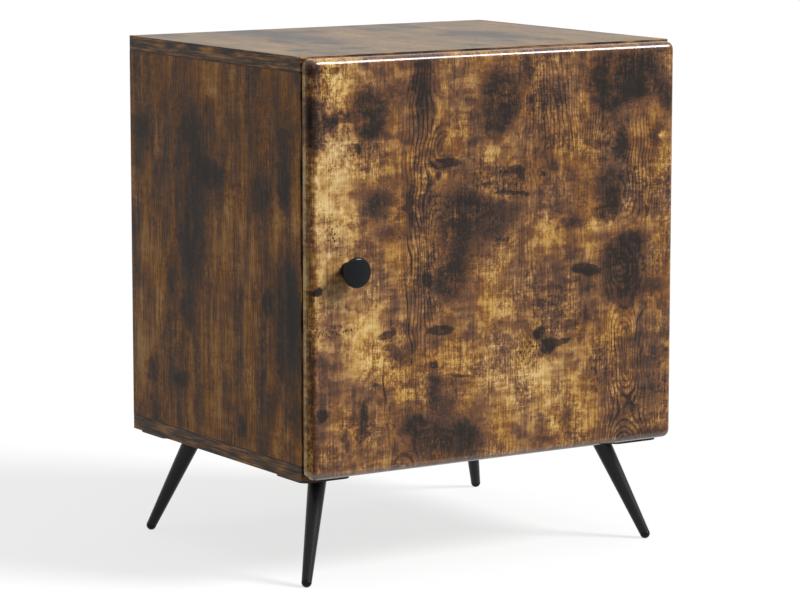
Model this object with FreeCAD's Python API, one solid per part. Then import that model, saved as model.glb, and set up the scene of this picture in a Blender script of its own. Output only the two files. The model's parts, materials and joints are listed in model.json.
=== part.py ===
import FreeCAD, Part
import math
import os

V = FreeCAD.Vector
RIGHT = V(1, 0, 0)
BACKWARD = V(0, 1, 0)
FORWARD = V(0, -1, 0)
UP = V(0, 0, 1)
DOWN = V(0, 0, -1)
FULL_TURN = 360

# Carcass: top and bottom run the full width, the sides stand between them
WIDTH = 450.0
DEPTH = 350.0
HEIGHT = 424.0
BOARD = 16.0
BAND = 0.8
LEG_HEIGHT = 111.0

# Thin back, held in a groove round the carcass
BACK_THICKNESS = 3.0
BACK_INSET = 12.0
GROOVE_DEPTH = 5.0
GROOVE_PLAY = 0.15
GROOVE_END_PLAY = 0.5

# Corner joints: glued dowels, and cam locks on steel bolts
FIT = 0.05
BORE_END_PLAY = 0.5
OVERRUN = 2.0
DOWEL_DIAMETER = 8.0
DOWEL_LENGTH = 30.0
DOWEL_IN_FLAT_BOARD = 10.0
DOWEL_CHAMFER = 1.0
DOWEL_INSET = 95.0
CAM_DIAMETER = 15.0
CAM_HEIGHT = 12.0
CAM_REACH = 24.0
CAM_INSET = 50.0
CAM_SLOT = 7.6
CAM_CROSS_LENGTH = 7.0
CAM_CROSS_WIDTH = 1.4
CAM_CROSS_DEPTH = 2.5
BOLT_THREAD_DIAMETER = 6.0
BOLT_THREAD_LENGTH = 10.5
BOLT_SHANK_DIAMETER = 5.0
BOLT_HEAD_DIAMETER = 7.0
BOLT_HEAD_LENGTH = 3.0
BOLT_BORE = 8.0

# Lay-on door: rounded corners, rounded front arris, eased back arris
DOOR_THICKNESS = 16.0
DOOR_GAP = 2.0
DOOR_LEFT_INSET = 0.8
DOOR_RIGHT_INSET = 3.0
DOOR_TOP_REVEAL = 1.5
DOOR_BOTTOM_REVEAL = 3.0
DOOR_CORNER = 8.0
DOOR_FRONT_ROUND = 7.0
DOOR_BACK_ROUND = 1.0
BUMPER_DIAMETER = 7.0
BUMPER_EDGE_ROUND = 0.8
BUMPER_PLAY = 0.3
BUMPER_INSET = 40.0

# Turned knob: a foot, a flared stem, a round rim and a shallow domed face
KNOB_INSET = 43.0
KNOB_RISE = 212.0
KNOB_PROJECTION = 23.0
KNOB_FOOT_DIAMETER = 17.0
KNOB_FOOT_HEIGHT = 2.0
KNOB_NECK_DIAMETER = 16.0
KNOB_FLARE_DIAMETER = 28.0
KNOB_FLARE_HEIGHT = 15.5
KNOB_RIM_DIAMETER = 31.0
KNOB_RIM_HEIGHT = 18.4
KNOB_FACE_DIAMETER = 26.0
KNOB_FACE_HEIGHT = 21.2
KNOB_STEM_BOW = 1.6
KNOB_SCREW_DIAMETER = 4.0
KNOB_SCREW_REACH = 9.0
KNOB_SCREW_HEAD_DIAMETER = 8.0
KNOB_SCREW_HEAD_HEIGHT = 2.4
KNOB_SCREW_HEAD_ROUND = 1.0
KNOB_SCREW_BORE = 4.6

# Legs: tapered tubes that splay outwards, welded to square plates
LEG_TOP_INSET = 50.0
LEG_FOOT_INSET = 13.0
LEG_TOP_DIAMETER = 20.0
LEG_FOOT_DIAMETER = 10.6
LEG_WALL = 1.5
FOOT_RIM = 1.5
FOOT_STEM_LENGTH = 10.0
FOOT_FLAT_DEPTH = 0.4
PLATE_SIDE = 58.0
PLATE_INSET = 4.0
PLATE_CORNER = 9.0
PLATE_THICKNESS = 3.0
PLATE_HOLE_INSET = 10.0

# Countersunk wood screws, one size for the leg plates, hinge plates and hinge cups
WOOD_SCREW_DIAMETER = 4.0
WOOD_SCREW_HEAD_DIAMETER = 7.6
WOOD_SCREW_HEAD_HEIGHT = 2.0
WOOD_SCREW_LENGTH = 12.0

# Concealed hinges: a cup in the door, an arm on a plate inside the right side board, two links between
HINGE_INSET = 75.0
HINGE_TAB = 2.5
CUP_DIAMETER = 35.0
CUP_DEPTH = 12.0
CUP_WALL = 1.0
FLANGE_DIAMETER = 38.0
FLANGE_THICKNESS = 1.0
EAR_WIDTH = 14.0
EAR_SPACING = 48.0
EAR_OFFSET = 6.0
SYSTEM_LINE = 37.0
WING_SPACING = 32.0
WING_WIDTH = 17.0
WING_THICKNESS = 2.0
RIDGE_START = 20.0
RIDGE_PLAY = 0.2
ARM_START = 14.0
ARM_END = 58.0
ARM_HEIGHT = 10.0
ARM_LIFT = 2.5
ARM_SHEET = 1.4
ARM_NOSE_RADIUS = 3.0
ARM_NECK_IN = 6.5
ARM_NECK_BACK = 17.0
ARM_SCREW_DIAMETER = 5.0
ARM_SCREW_LENGTH = 6.0
ARM_SCREW_HEAD_DIAMETER = 8.0
ARM_SCREW_HEAD_HEIGHT = 2.0
ARM_SCREW_SLOT_WIDTH = 1.2
ARM_SCREW_SLOT_DEPTH = 1.0
FRONT_ARM_SCREW = 26.0
REAR_ARM_SCREW = 51.0

# Hinge pivots: on the arm from the board's inner front corner, in the cup from its mouth's middle
OUTER_ARM_PIVOT_IN = 18.8
OUTER_ARM_PIVOT_BACK = 6.9
INNER_ARM_PIVOT_IN = 11.0
INNER_ARM_PIVOT_BACK = 0.65
OUTER_CUP_PIVOT_OUT = 11.05
OUTER_CUP_PIVOT_DEPTH = 2.15
INNER_CUP_PIVOT_OUT = 11.4
INNER_CUP_PIVOT_DEPTH = 6.75
PIN_DIAMETER = 2.0
PIN_HEAD = 0.4
INNER_LINK_WIDTH = 8.0
LINK_SHEET = 1.2
LINK_HALF = 2.2
LINK_SIDE_PLAY = 0.5
ARM_SIDE_PLAY = 0.6
LUG_PLAY = 0.8
LUG_THICKNESS = 2.4
LUG_MARGIN = 2.0
OUTER_LINK_BOW = 6.9
INNER_LINK_BOW = 5.8
SPACER_DIAMETER = 3.0
SPACER_IN = 15.3
SPACER_FORWARD = 0.5
SLOT_ANGLE = -32.7
SLOT_TRAVEL = 2.0
SLOT_SIDE_SHIFT = 0.15
SLOT_PLAY = 0.2
SLOT_WALL = 1.0

# Places that follow from the sizes: origin on the floor under the middle
HALF_WIDTH = WIDTH / 2
OVERALL_DEPTH = KNOB_PROJECTION + DOOR_THICKNESS + DOOR_GAP + DEPTH
BACK = OVERALL_DEPTH / 2
FRONT = BACK - DEPTH
DOOR_BACK = FRONT - DOOR_GAP
DOOR_FRONT = DOOR_BACK - DOOR_THICKNESS
BASE = LEG_HEIGHT
FLOOR_BOARD_TOP = BASE + BOARD
TOP = BASE + HEIGHT
CEILING = TOP - BOARD
INNER_HALF = HALF_WIDTH - BOARD
SIDE_MIDDLE = HALF_WIDTH - BOARD / 2
BACK_PANEL_REAR = BACK - BACK_INSET
BACK_PANEL_FRONT = BACK_PANEL_REAR - BACK_THICKNESS
DOOR_LOW = BASE + DOOR_BOTTOM_REVEAL
DOOR_HIGH = TOP - DOOR_TOP_REVEAL
DOOR_LEFT = DOOR_LEFT_INSET - HALF_WIDTH
DOOR_RIGHT = HALF_WIDTH - DOOR_RIGHT_INSET
CUP_X = DOOR_RIGHT - HINGE_TAB - CUP_DIAMETER / 2
KNOB_X = KNOB_INSET - HALF_WIDTH
KNOB_Z = BASE + KNOB_RISE


def plan(inwards, backwards):
    """A place in plan, measured from the right side board's inner front corner."""
    return V(INNER_HALF - inwards, FRONT + backwards, 0)


def cup_plan(outwards, depth):
    """A place in plan, measured from the middle of the cup's mouth outwards and into the door."""
    return V(CUP_X + outwards, DOOR_BACK - depth, 0)


# Hinge places and heights that follow from the sizes
ARM_OUTER = plan(OUTER_ARM_PIVOT_IN, OUTER_ARM_PIVOT_BACK)
ARM_INNER = plan(INNER_ARM_PIVOT_IN, INNER_ARM_PIVOT_BACK)
ARM_NECK = plan(ARM_NECK_IN, ARM_NECK_BACK)
SPACER_PLACE = plan(SPACER_IN, -SPACER_FORWARD)
CUP_OUTER = cup_plan(OUTER_CUP_PIVOT_OUT, OUTER_CUP_PIVOT_DEPTH)
CUP_INNER = cup_plan(INNER_CUP_PIVOT_OUT, INNER_CUP_PIVOT_DEPTH)
OUTER_LINK_NEAR = INNER_LINK_WIDTH / 2 + LINK_SIDE_PLAY
OUTER_LINK_FAR = OUTER_LINK_NEAR + LINK_SHEET
ARM_NEAR = OUTER_LINK_FAR + ARM_SIDE_PLAY
ARM_FAR = ARM_NEAR + ARM_SHEET
RIDGE_HALF = ARM_NEAR - RIDGE_PLAY
LUG_NEAR = ARM_FAR + LUG_PLAY
LUG_FAR = LUG_NEAR + LUG_THICKNESS
ARM_SCREW_PLACES = (FRONT_ARM_SCREW, REAR_ARM_SCREW)


def box(x0, x1, y0, y1, z0, z1):
    return Part.makeBox(x1 - x0, y1 - y0, z1 - z0, V(x0, y0, z0))


def rod(diameter, start, end):
    run = end - start
    return Part.makeCylinder(diameter / 2, run.Length, start, run)


def turned(profile, start, axis):
    """A solid of revolution whose profile starts at a point and runs along an axis."""
    solid = Part.Face(Part.Wire(profile)).revolve(V(0, 0, 0), UP, FULL_TURN)
    solid.Placement = FreeCAD.Placement(start, FreeCAD.Rotation(UP, axis))
    return solid


def outline(points):
    """Edges through (radius, height) points; a pair of points is an arc through the first of them."""
    edges = []
    here = V(points[0][0], 0, points[0][1])
    for step in points[1:]:
        if isinstance(step[0], tuple):
            middle = V(step[0][0], 0, step[0][1])
            there = V(step[1][0], 0, step[1][1])
            edges.append(Part.Arc(here, middle, there).toShape())
        else:
            there = V(step[0], 0, step[1])
            edges.append(Part.LineSegment(here, there).toShape())
        here = there
    return edges


def rounded_slab(x0, x1, z0, z1, corner, y0, y1):
    """Upright slab from y0 to y1 with its four corners rounded in elevation."""
    slab = box(x0, x1, y0, y1, z0, z1)
    upright = [e for e in slab.Edges if abs(e.Vertexes[0].Y - e.Vertexes[1].Y) > corner / 2]
    return slab.makeFillet(corner, upright)


def wood_screw(point, way):
    """Countersunk wood screw, with its flush head at the given point."""
    head = WOOD_SCREW_HEAD_DIAMETER / 2
    shank = WOOD_SCREW_DIAMETER / 2
    cone = WOOD_SCREW_LENGTH - shank
    profile = outline([
        (0, 0), (head, 0), (shank, WOOD_SCREW_HEAD_HEIGHT), (shank, cone), (0, WOOD_SCREW_LENGTH), (0, 0)
    ])
    return turned(profile, point, way)


def wood_screw_bore(point, way):
    """The space of a wood screw, cut alike from the piece that it holds and from the board."""
    head = WOOD_SCREW_HEAD_DIAMETER / 2 + FIT
    shank = WOOD_SCREW_DIAMETER / 2 + FIT
    end = WOOD_SCREW_LENGTH + BORE_END_PLAY
    profile = outline([
        (0, -OVERRUN), (head, -OVERRUN), (head, FIT), (shank, WOOD_SCREW_HEAD_HEIGHT + FIT),
        (shank, end), (0, end), (0, -OVERRUN)
    ])
    return turned(profile, point, way)


def save(node, solids):
    shape = solids[0] if len(solids) == 1 else Part.makeCompound(solids)
    shape.exportStep("parts/" + node + ".step")


# Corner joints


def corner_joints(inset):
    """Where fittings cross the corners: the side, the point on the seam and the way into the side board."""
    places = []
    for side in (-1, 1):
        for seam, way in ((CEILING, DOWN), (FLOOR_BOARD_TOP, UP)):
            for y in (FRONT + inset, BACK - inset):
                places.append((side, V(side * SIDE_MIDDLE, y, seam), way))
    return places


def dowel(seam, way):
    radius = DOWEL_DIAMETER / 2
    tip = radius - DOWEL_CHAMFER
    shoulder = DOWEL_LENGTH - DOWEL_CHAMFER
    profile = outline([
        (0, 0), (tip, 0), (radius, DOWEL_CHAMFER), (radius, shoulder),
        (tip, DOWEL_LENGTH), (0, DOWEL_LENGTH), (0, 0)
    ])
    return turned(profile, seam - way * DOWEL_IN_FLAT_BOARD, way)


def dowel_bore(seam, way):
    start = seam - way * (DOWEL_IN_FLAT_BOARD + BORE_END_PLAY)
    end = seam + way * (DOWEL_LENGTH - DOWEL_IN_FLAT_BOARD + BORE_END_PLAY)
    return rod(DOWEL_DIAMETER + 2 * FIT, start, end)


def cam_bolt(seam, way):
    thread = BOLT_THREAD_DIAMETER / 2
    shank = BOLT_SHANK_DIAMETER / 2
    head = BOLT_HEAD_DIAMETER / 2
    neck = BOLT_THREAD_LENGTH + CAM_REACH - BOLT_HEAD_LENGTH / 2
    end = neck + BOLT_HEAD_LENGTH
    profile = outline([
        (0, 0), (thread, 0), (thread, BOLT_THREAD_LENGTH), (shank, BOLT_THREAD_LENGTH), (shank, neck),
        (head, neck), (head, end), (0, end), (0, 0)
    ])
    return turned(profile, seam - way * BOLT_THREAD_LENGTH, way)


def cam_bolt_bores(seam, way):
    thread = rod(BOLT_THREAD_DIAMETER + 2 * FIT, seam - way * (BOLT_THREAD_LENGTH + BORE_END_PLAY), seam)
    shank = rod(BOLT_BORE, seam, seam + way * CAM_REACH)
    return thread.fuse(shank)


def cam_lock(side, seam, way):
    inward = RIGHT * -side
    face = V(side * INNER_HALF, seam.y, seam.z) + way * CAM_REACH
    cam = rod(CAM_DIAMETER - 2 * FIT, face - inward * CAM_HEIGHT, face)
    middle = V(seam.x, face.y, face.z)
    slot_start = middle + way * (BOLT_HEAD_LENGTH / 2 + BORE_END_PLAY)
    slot = rod(CAM_SLOT, slot_start, middle - way * CAM_DIAMETER)
    reach = CAM_CROSS_LENGTH / 2
    half = CAM_CROSS_WIDTH / 2
    floor = face - inward * CAM_CROSS_DEPTH
    x0, x1 = sorted((floor.x, face.x + inward.x * OVERRUN))
    cross = box(x0, x1, face.y - reach, face.y + reach, face.z - half, face.z + half)
    cross = cross.fuse(box(x0, x1, face.y - half, face.y + half, face.z - reach, face.z + reach))
    return cam.cut(slot).cut(cross)


def cam_pocket(side, seam, way):
    inward = RIGHT * -side
    face = V(side * INNER_HALF, seam.y, seam.z) + way * CAM_REACH
    return rod(CAM_DIAMETER, face - inward * (CAM_HEIGHT + BORE_END_PLAY), face + inward * OVERRUN)


def fitting_bores():
    """Bores of the dowels and bolts at all corners, cut alike from every board that they reach."""
    bores = [dowel_bore(seam, way) for side, seam, way in corner_joints(DOWEL_INSET)]
    bores += [cam_bolt_bores(seam, way) for side, seam, way in corner_joints(CAM_INSET)]
    return bores


def save_fittings():
    save("corner_dowels", [dowel(seam, way) for side, seam, way in corner_joints(DOWEL_INSET)])
    save("cam_bolts", [cam_bolt(seam, way) for side, seam, way in corner_joints(CAM_INSET)])
    save("cam_locks", [cam_lock(side, seam, way) for side, seam, way in corner_joints(CAM_INSET)])


# Carcass boards


def back_groove():
    """The space that the back panel's edges need, cut alike from the four boards round it."""
    y0 = BACK_PANEL_FRONT - GROOVE_PLAY
    y1 = BACK_PANEL_REAR + GROOVE_PLAY
    reach = INNER_HALF + GROOVE_DEPTH
    return box(-reach, reach, y0, y1, FLOOR_BOARD_TOP - GROOVE_DEPTH, CEILING + GROOVE_DEPTH)


def back_panel():
    reach = INNER_HALF + GROOVE_DEPTH - GROOVE_END_PLAY
    low = FLOOR_BOARD_TOP - GROOVE_DEPTH + GROOVE_END_PLAY
    high = CEILING + GROOVE_DEPTH - GROOVE_END_PLAY
    return box(-reach, reach, BACK_PANEL_FRONT, BACK_PANEL_REAR, low, high)


def flat_board(z0, z1):
    reach = HALF_WIDTH - BAND
    return box(-reach, reach, FRONT + BAND, BACK, z0, z1)


def flat_board_bands(z0, z1):
    """Tape on the front edge, full width, and on the two ends behind it."""
    front = box(-HALF_WIDTH, HALF_WIDTH, FRONT, FRONT + BAND, z0, z1)
    left = box(-HALF_WIDTH, BAND - HALF_WIDTH, FRONT + BAND, BACK, z0, z1)
    right = box(HALF_WIDTH - BAND, HALF_WIDTH, FRONT + BAND, BACK, z0, z1)
    return [front, left, right]


def side_board(side):
    x0, x1 = sorted((side * INNER_HALF, side * HALF_WIDTH))
    return box(x0, x1, FRONT + BAND, BACK, FLOOR_BOARD_TOP, CEILING)


def side_band(side):
    x0, x1 = sorted((side * INNER_HALF, side * HALF_WIDTH))
    return box(x0, x1, FRONT, FRONT + BAND, FLOOR_BOARD_TOP, CEILING)


def save_carcass():
    shared = fitting_bores() + [back_groove()]
    pockets = [cam_pocket(side, seam, way) for side, seam, way in corner_joints(CAM_INSET)]
    save("top_panel", [flat_board(CEILING, TOP).cut(shared)])
    save("bottom_panel", [flat_board(BASE, FLOOR_BOARD_TOP).cut(shared + leg_screw_bores())])
    save("left_side_panel", [side_board(-1).cut(shared + pockets)])
    save("right_side_panel", [side_board(1).cut(shared + pockets + hinge_plate_screw_bores())])
    save("back_panel", [back_panel()])
    save("top_edge_bands", flat_board_bands(CEILING, TOP))
    save("bottom_edge_bands", flat_board_bands(BASE, FLOOR_BOARD_TOP))
    save("side_edge_bands", [side_band(-1), side_band(1)])


# Door and knob


def door_slab():
    slab = rounded_slab(DOOR_LEFT, DOOR_RIGHT, DOOR_LOW, DOOR_HIGH, DOOR_CORNER, DOOR_FRONT, DOOR_BACK)
    front = [e for e in slab.Edges if e.BoundBox.YMax - DOOR_FRONT < FIT]
    slab = slab.makeFillet(DOOR_FRONT_ROUND, front)
    back = [e for e in slab.Edges if DOOR_BACK - e.BoundBox.YMin < FIT]
    return slab.makeFillet(DOOR_BACK_ROUND, back)


def knob():
    foot = KNOB_FOOT_DIAMETER / 2
    neck = KNOB_NECK_DIAMETER / 2
    flare = KNOB_FLARE_DIAMETER / 2
    rim = KNOB_RIM_DIAMETER / 2
    face = KNOB_FACE_DIAMETER / 2
    stem_middle = ((neck + flare) / 2 - KNOB_STEM_BOW, (KNOB_FOOT_HEIGHT + KNOB_FLARE_HEIGHT) / 2)
    rise = KNOB_PROJECTION - KNOB_FACE_HEIGHT
    ball = (face ** 2 + rise ** 2) / (2 * rise)
    half = math.asin(face / ball) / 2
    face_middle = (ball * math.sin(half), KNOB_PROJECTION - ball * (1 - math.cos(half)))
    profile = outline([
        (0, 0), (foot, 0), (foot, KNOB_FOOT_HEIGHT), (neck, KNOB_FOOT_HEIGHT),
        (stem_middle, (flare, KNOB_FLARE_HEIGHT)),
        ((rim, KNOB_RIM_HEIGHT), (face, KNOB_FACE_HEIGHT)),
        (face_middle, (0, KNOB_PROJECTION)), (0, 0)
    ])
    seat = V(KNOB_X, DOOR_FRONT, KNOB_Z)
    bore = rod(KNOB_SCREW_DIAMETER + 2 * FIT, seat, seat + FORWARD * (KNOB_SCREW_REACH + BORE_END_PLAY))
    return turned(profile, seat, FORWARD).cut(bore)


def knob_screw():
    shank = KNOB_SCREW_DIAMETER / 2
    head = KNOB_SCREW_HEAD_DIAMETER / 2
    end = KNOB_SCREW_HEAD_HEIGHT + DOOR_THICKNESS + KNOB_SCREW_REACH
    crown = head - KNOB_SCREW_HEAD_ROUND
    inset = KNOB_SCREW_HEAD_ROUND * (1 - math.sqrt(2) / 2)
    profile = outline([
        (0, 0), (crown, 0), ((head - inset, inset), (head, KNOB_SCREW_HEAD_ROUND)),
        (head, KNOB_SCREW_HEAD_HEIGHT), (shank, KNOB_SCREW_HEAD_HEIGHT), (shank, end), (0, end), (0, 0)
    ])
    return turned(profile, V(KNOB_X, DOOR_BACK + KNOB_SCREW_HEAD_HEIGHT, KNOB_Z), FORWARD)


def knob_screw_bore():
    start = V(KNOB_X, DOOR_BACK + OVERRUN, KNOB_Z)
    end = V(KNOB_X, DOOR_FRONT - OVERRUN, KNOB_Z)
    return rod(KNOB_SCREW_BORE, start, end)


def bumper(z):
    height = DOOR_GAP - BUMPER_PLAY
    pad = rod(BUMPER_DIAMETER, V(-SIDE_MIDDLE, DOOR_BACK, z), V(-SIDE_MIDDLE, DOOR_BACK + height, z))
    rim = [e for e in pad.Edges if e.BoundBox.YMin > DOOR_BACK + height / 2]
    return pad.makeFillet(BUMPER_EDGE_ROUND, rim)


def save_door():
    cuts = [knob_screw_bore()] + hinge_cup_pockets()
    save("door_panel", [door_slab().cut(cuts)])
    save("door_knob", [knob()])
    save("knob_screw", [knob_screw()])
    save("door_bumpers", [bumper(DOOR_LOW + BUMPER_INSET), bumper(DOOR_HIGH - BUMPER_INSET)])


# Legs


def corner_name(side, end):
    return ("front" if end < 0 else "back") + "_" + ("left" if side < 0 else "right")


def corner_point(side, end, inset, z):
    y = FRONT + inset if end < 0 else BACK - inset
    return V(side * (HALF_WIDTH - inset), y, z)


def leg_axis(side, end):
    """Middle of the foot's round end, the leg's direction and its length up to the carcass."""
    foot = corner_point(side, end, LEG_FOOT_INSET, LEG_FOOT_DIAMETER / 2 - FOOT_FLAT_DEPTH)
    run = corner_point(side, end, LEG_TOP_INSET, BASE) - foot
    length = run.Length
    return foot, run.normalize(), length


def leg_tube(side, end):
    foot, axis, length = leg_axis(side, end)
    low = LEG_FOOT_DIAMETER / 2
    high = LEG_TOP_DIAMETER / 2
    past = length + LEG_TOP_DIAMETER
    grow = (high - low) / (length - FOOT_RIM)
    wide = low + grow * (past - FOOT_RIM)
    profile = outline([
        (low - LEG_WALL, FOOT_RIM), (low, FOOT_RIM), (wide, past),
        (wide - LEG_WALL, past), (low - LEG_WALL, FOOT_RIM)
    ])
    tube = turned(profile, foot, axis)
    seat = BASE - PLATE_THICKNESS
    above = box(-WIDTH, WIDTH, -OVERALL_DEPTH, OVERALL_DEPTH, seat, seat + HEIGHT)
    return tube.cut(above)


def foot_cap(side, end):
    foot, axis, length = leg_axis(side, end)
    radius = LEG_FOOT_DIAMETER / 2
    stem = radius - LEG_WALL - FIT
    top = FOOT_RIM + FOOT_STEM_LENGTH
    dome = radius * math.sqrt(2) / 2
    profile = outline([
        (0, -radius), ((dome, -dome), (radius, 0)), (radius, FOOT_RIM),
        (stem, FOOT_RIM), (stem, top), (0, top), (0, -radius)
    ])
    cap = turned(profile, foot, axis)
    return cap.cut(box(-WIDTH, WIDTH, -OVERALL_DEPTH, OVERALL_DEPTH, -LEG_HEIGHT, 0))


def plate_hole_points(side, end, z):
    """Three corners of the plate; the leg itself takes up the fourth, inner one."""
    near = PLATE_INSET + PLATE_HOLE_INSET
    far = PLATE_INSET + PLATE_SIDE - PLATE_HOLE_INSET
    points = []
    for across, along in ((near, near), (near, far), (far, near)):
        y = FRONT + along if end < 0 else BACK - along
        points.append(V(side * (HALF_WIDTH - across), y, z))
    return points


def leg_plate(side, end):
    outer = corner_point(side, end, PLATE_INSET, 0)
    inner = corner_point(side, end, PLATE_INSET + PLATE_SIDE, 0)
    x0, x1 = sorted((outer.x, inner.x))
    y0, y1 = sorted((outer.y, inner.y))
    plate = box(x0, x1, y0, y1, BASE - PLATE_THICKNESS, BASE)
    upright = [e for e in plate.Edges if e.BoundBox.ZLength > PLATE_THICKNESS / 2]
    plate = plate.makeFillet(PLATE_CORNER, upright)
    return plate.cut([wood_screw_bore(p, UP) for p in plate_hole_points(side, end, BASE - PLATE_THICKNESS)])


CORNERS = [(-1, -1), (1, -1), (-1, 1), (1, 1)]


def leg_screw_points():
    return [p for side, end in CORNERS for p in plate_hole_points(side, end, BASE - PLATE_THICKNESS)]


def leg_screw_bores():
    return [wood_screw_bore(p, UP) for p in leg_screw_points()]


def save_legs():
    for side, end in CORNERS:
        name = corner_name(side, end)
        save("leg_" + name, [leg_tube(side, end)])
        save("leg_plate_" + name, [leg_plate(side, end)])
        save("foot_cap_" + name, [foot_cap(side, end)])
    save("leg_screws", [wood_screw(p, UP) for p in leg_screw_points()])


# Concealed hinges


def hinge_heights():
    return {"upper": DOOR_HIGH - HINGE_INSET, "lower": DOOR_LOW + HINGE_INSET}


def level(shape, low, high):
    """A flat outline raised into a sheet between two heights."""
    sheet = Part.Face(shape).extrude(UP * (high - low))
    sheet.translate(UP * low)
    return sheet


def both_sides(z, near, far):
    """The two height ranges at the same distance above and below a hinge's middle."""
    return ((z + near, z + far), (z - far, z - near))


def bowed_band(start, end, bow, half):
    """Outline of a bowed strip with round ends, centred on an arc between two pivots."""
    chord = end - start
    across = V(chord.y, -chord.x, 0).normalize()
    middle = (start + end) / 2 + across * bow
    centre = Part.Arc(start, middle, end).toShape().Curve.Center

    def out(point, reach):
        return point + (point - centre).normalize() * reach

    def tip(point, other):
        spoke = (point - centre).normalize()
        along = V(-spoke.y, spoke.x, 0)
        return point + along * (half if along.dot(point - other) > 0 else -half)

    edges = [
        Part.Arc(out(start, -half), tip(start, end), out(start, half)).toShape(),
        Part.Arc(out(start, half), out(middle, half), out(end, half)).toShape(),
        Part.Arc(out(end, half), tip(end, start), out(end, -half)).toShape(),
        Part.Arc(out(end, -half), out(middle, -half), out(start, -half)).toShape(),
    ]
    return Part.Wire(edges)


def capsule(start, end, across):
    """Outline of a straight strip with round ends, as wide to each side as the vector across."""
    along = (end - start).normalize() * across.Length
    edges = [
        Part.Arc(start + across, start - along, start - across).toShape(),
        Part.LineSegment(start - across, end - across).toShape(),
        Part.Arc(end - across, end + along, end + across).toShape(),
        Part.LineSegment(end + across, start + across).toShape(),
    ]
    return Part.Wire(edges)


def pin(place, low, high):
    return rod(PIN_DIAMETER, place + UP * low, place + UP * high)


def pin_bore(place, z):
    return rod(PIN_DIAMETER + 2 * FIT, place + UP * (z - CUP_DIAMETER), place + UP * (z + CUP_DIAMETER))


def outer_link(z):
    """Two bowed cheeks outside the inner link, joined by a spacer bar near the arm."""
    strip = bowed_band(ARM_OUTER, CUP_OUTER, OUTER_LINK_BOW, LINK_HALF)
    cheeks = [level(strip, z0, z1) for z0, z1 in both_sides(z, OUTER_LINK_NEAR, OUTER_LINK_FAR)]
    low = SPACER_PLACE + UP * (z - OUTER_LINK_FAR)
    high = SPACER_PLACE + UP * (z + OUTER_LINK_FAR)
    spacer = rod(SPACER_DIAMETER, low, high)
    link = cheeks[0].fuse([cheeks[1], spacer]).removeSplitter()
    return link.cut([pin_bore(ARM_OUTER, z), pin_bore(CUP_OUTER, z)])


def inner_link(z):
    """One bowed bar whose cup end is a short slot, so that the pin can shift a little in it."""
    low = z - INNER_LINK_WIDTH / 2
    high = z + INNER_LINK_WIDTH / 2
    bar = level(bowed_band(ARM_INNER, CUP_INNER, INNER_LINK_BOW, LINK_HALF), low, high)
    turn = math.radians(SLOT_ANGLE)
    way = V(math.cos(turn), math.sin(turn), 0)
    side = V(way.y, -way.x, 0)
    start = CUP_INNER + side * SLOT_SIDE_SHIFT - way * SLOT_PLAY
    end = start + way * (SLOT_TRAVEL + 2 * SLOT_PLAY)
    slot_half = PIN_DIAMETER / 2 + SLOT_SIDE_SHIFT + SLOT_PLAY
    eye = level(capsule(start, end, side * (slot_half + SLOT_WALL)), low, high)
    slot = level(capsule(start, end, side * slot_half), low - OVERRUN, high + OVERRUN)
    return bar.fuse(eye).removeSplitter().cut([slot, pin_bore(ARM_INNER, z)])


def hinge_arm(z):
    """Channel over the plate's ridge, whose cheeks run forward into a nose that holds the two arm pins."""
    nose = Part.makePolygon([ARM_OUTER, ARM_INNER, ARM_NECK, ARM_OUTER]).makeOffset2D(ARM_NOSE_RADIUS)
    inner = plan(ARM_HEIGHT, ARM_START)
    outer = plan(ARM_LIFT, ARM_END)
    pieces = []
    for low, high in both_sides(z, ARM_NEAR, ARM_FAR):
        pieces.append(level(nose, low, high))
        pieces.append(box(inner.x, outer.x, inner.y, outer.y, low, high))
    pieces.append(box(inner.x, inner.x + ARM_SHEET, inner.y, outer.y, z - ARM_FAR, z + ARM_FAR))
    arm = pieces[0].fuse(pieces[1:]).removeSplitter()
    bores = [pin_bore(ARM_OUTER, z), pin_bore(ARM_INNER, z)]
    return arm.cut(bores + [arm_screw_bore(z, back) for back in ARM_SCREW_PLACES])


def arm_screw_axis(z, back):
    """Seat of an arm screw on the channel's outside; it points at the side board."""
    return plan(ARM_HEIGHT, back) + UP * z


def arm_screw(z, back):
    head = ARM_SCREW_HEAD_DIAMETER / 2
    shank = ARM_SCREW_DIAMETER / 2
    end = ARM_SCREW_HEAD_HEIGHT + ARM_SCREW_LENGTH
    profile = outline([
        (0, 0), (head, 0), (head, ARM_SCREW_HEAD_HEIGHT), (shank, ARM_SCREW_HEAD_HEIGHT),
        (shank, end), (0, end), (0, 0)
    ])
    start = arm_screw_axis(z, back) - RIGHT * ARM_SCREW_HEAD_HEIGHT
    screw = turned(profile, start, RIGHT)
    half = ARM_SCREW_SLOT_WIDTH / 2
    reach = head + OVERRUN
    floor = start.x + ARM_SCREW_SLOT_DEPTH
    slot = box(start.x - OVERRUN, floor, start.y - reach, start.y + reach, z - half, z + half)
    return screw.cut(slot)


def arm_screw_bore(z, back):
    seat = arm_screw_axis(z, back)
    end = seat + RIGHT * (ARM_SCREW_LENGTH + FIT)
    return rod(ARM_SCREW_DIAMETER + 2 * FIT, seat - RIGHT * OVERRUN, end)


def hinge_plate_screw_points(z):
    seat = plan(WING_THICKNESS, SYSTEM_LINE)
    return [seat + UP * (z + WING_SPACING / 2), seat + UP * (z - WING_SPACING / 2)]


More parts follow.
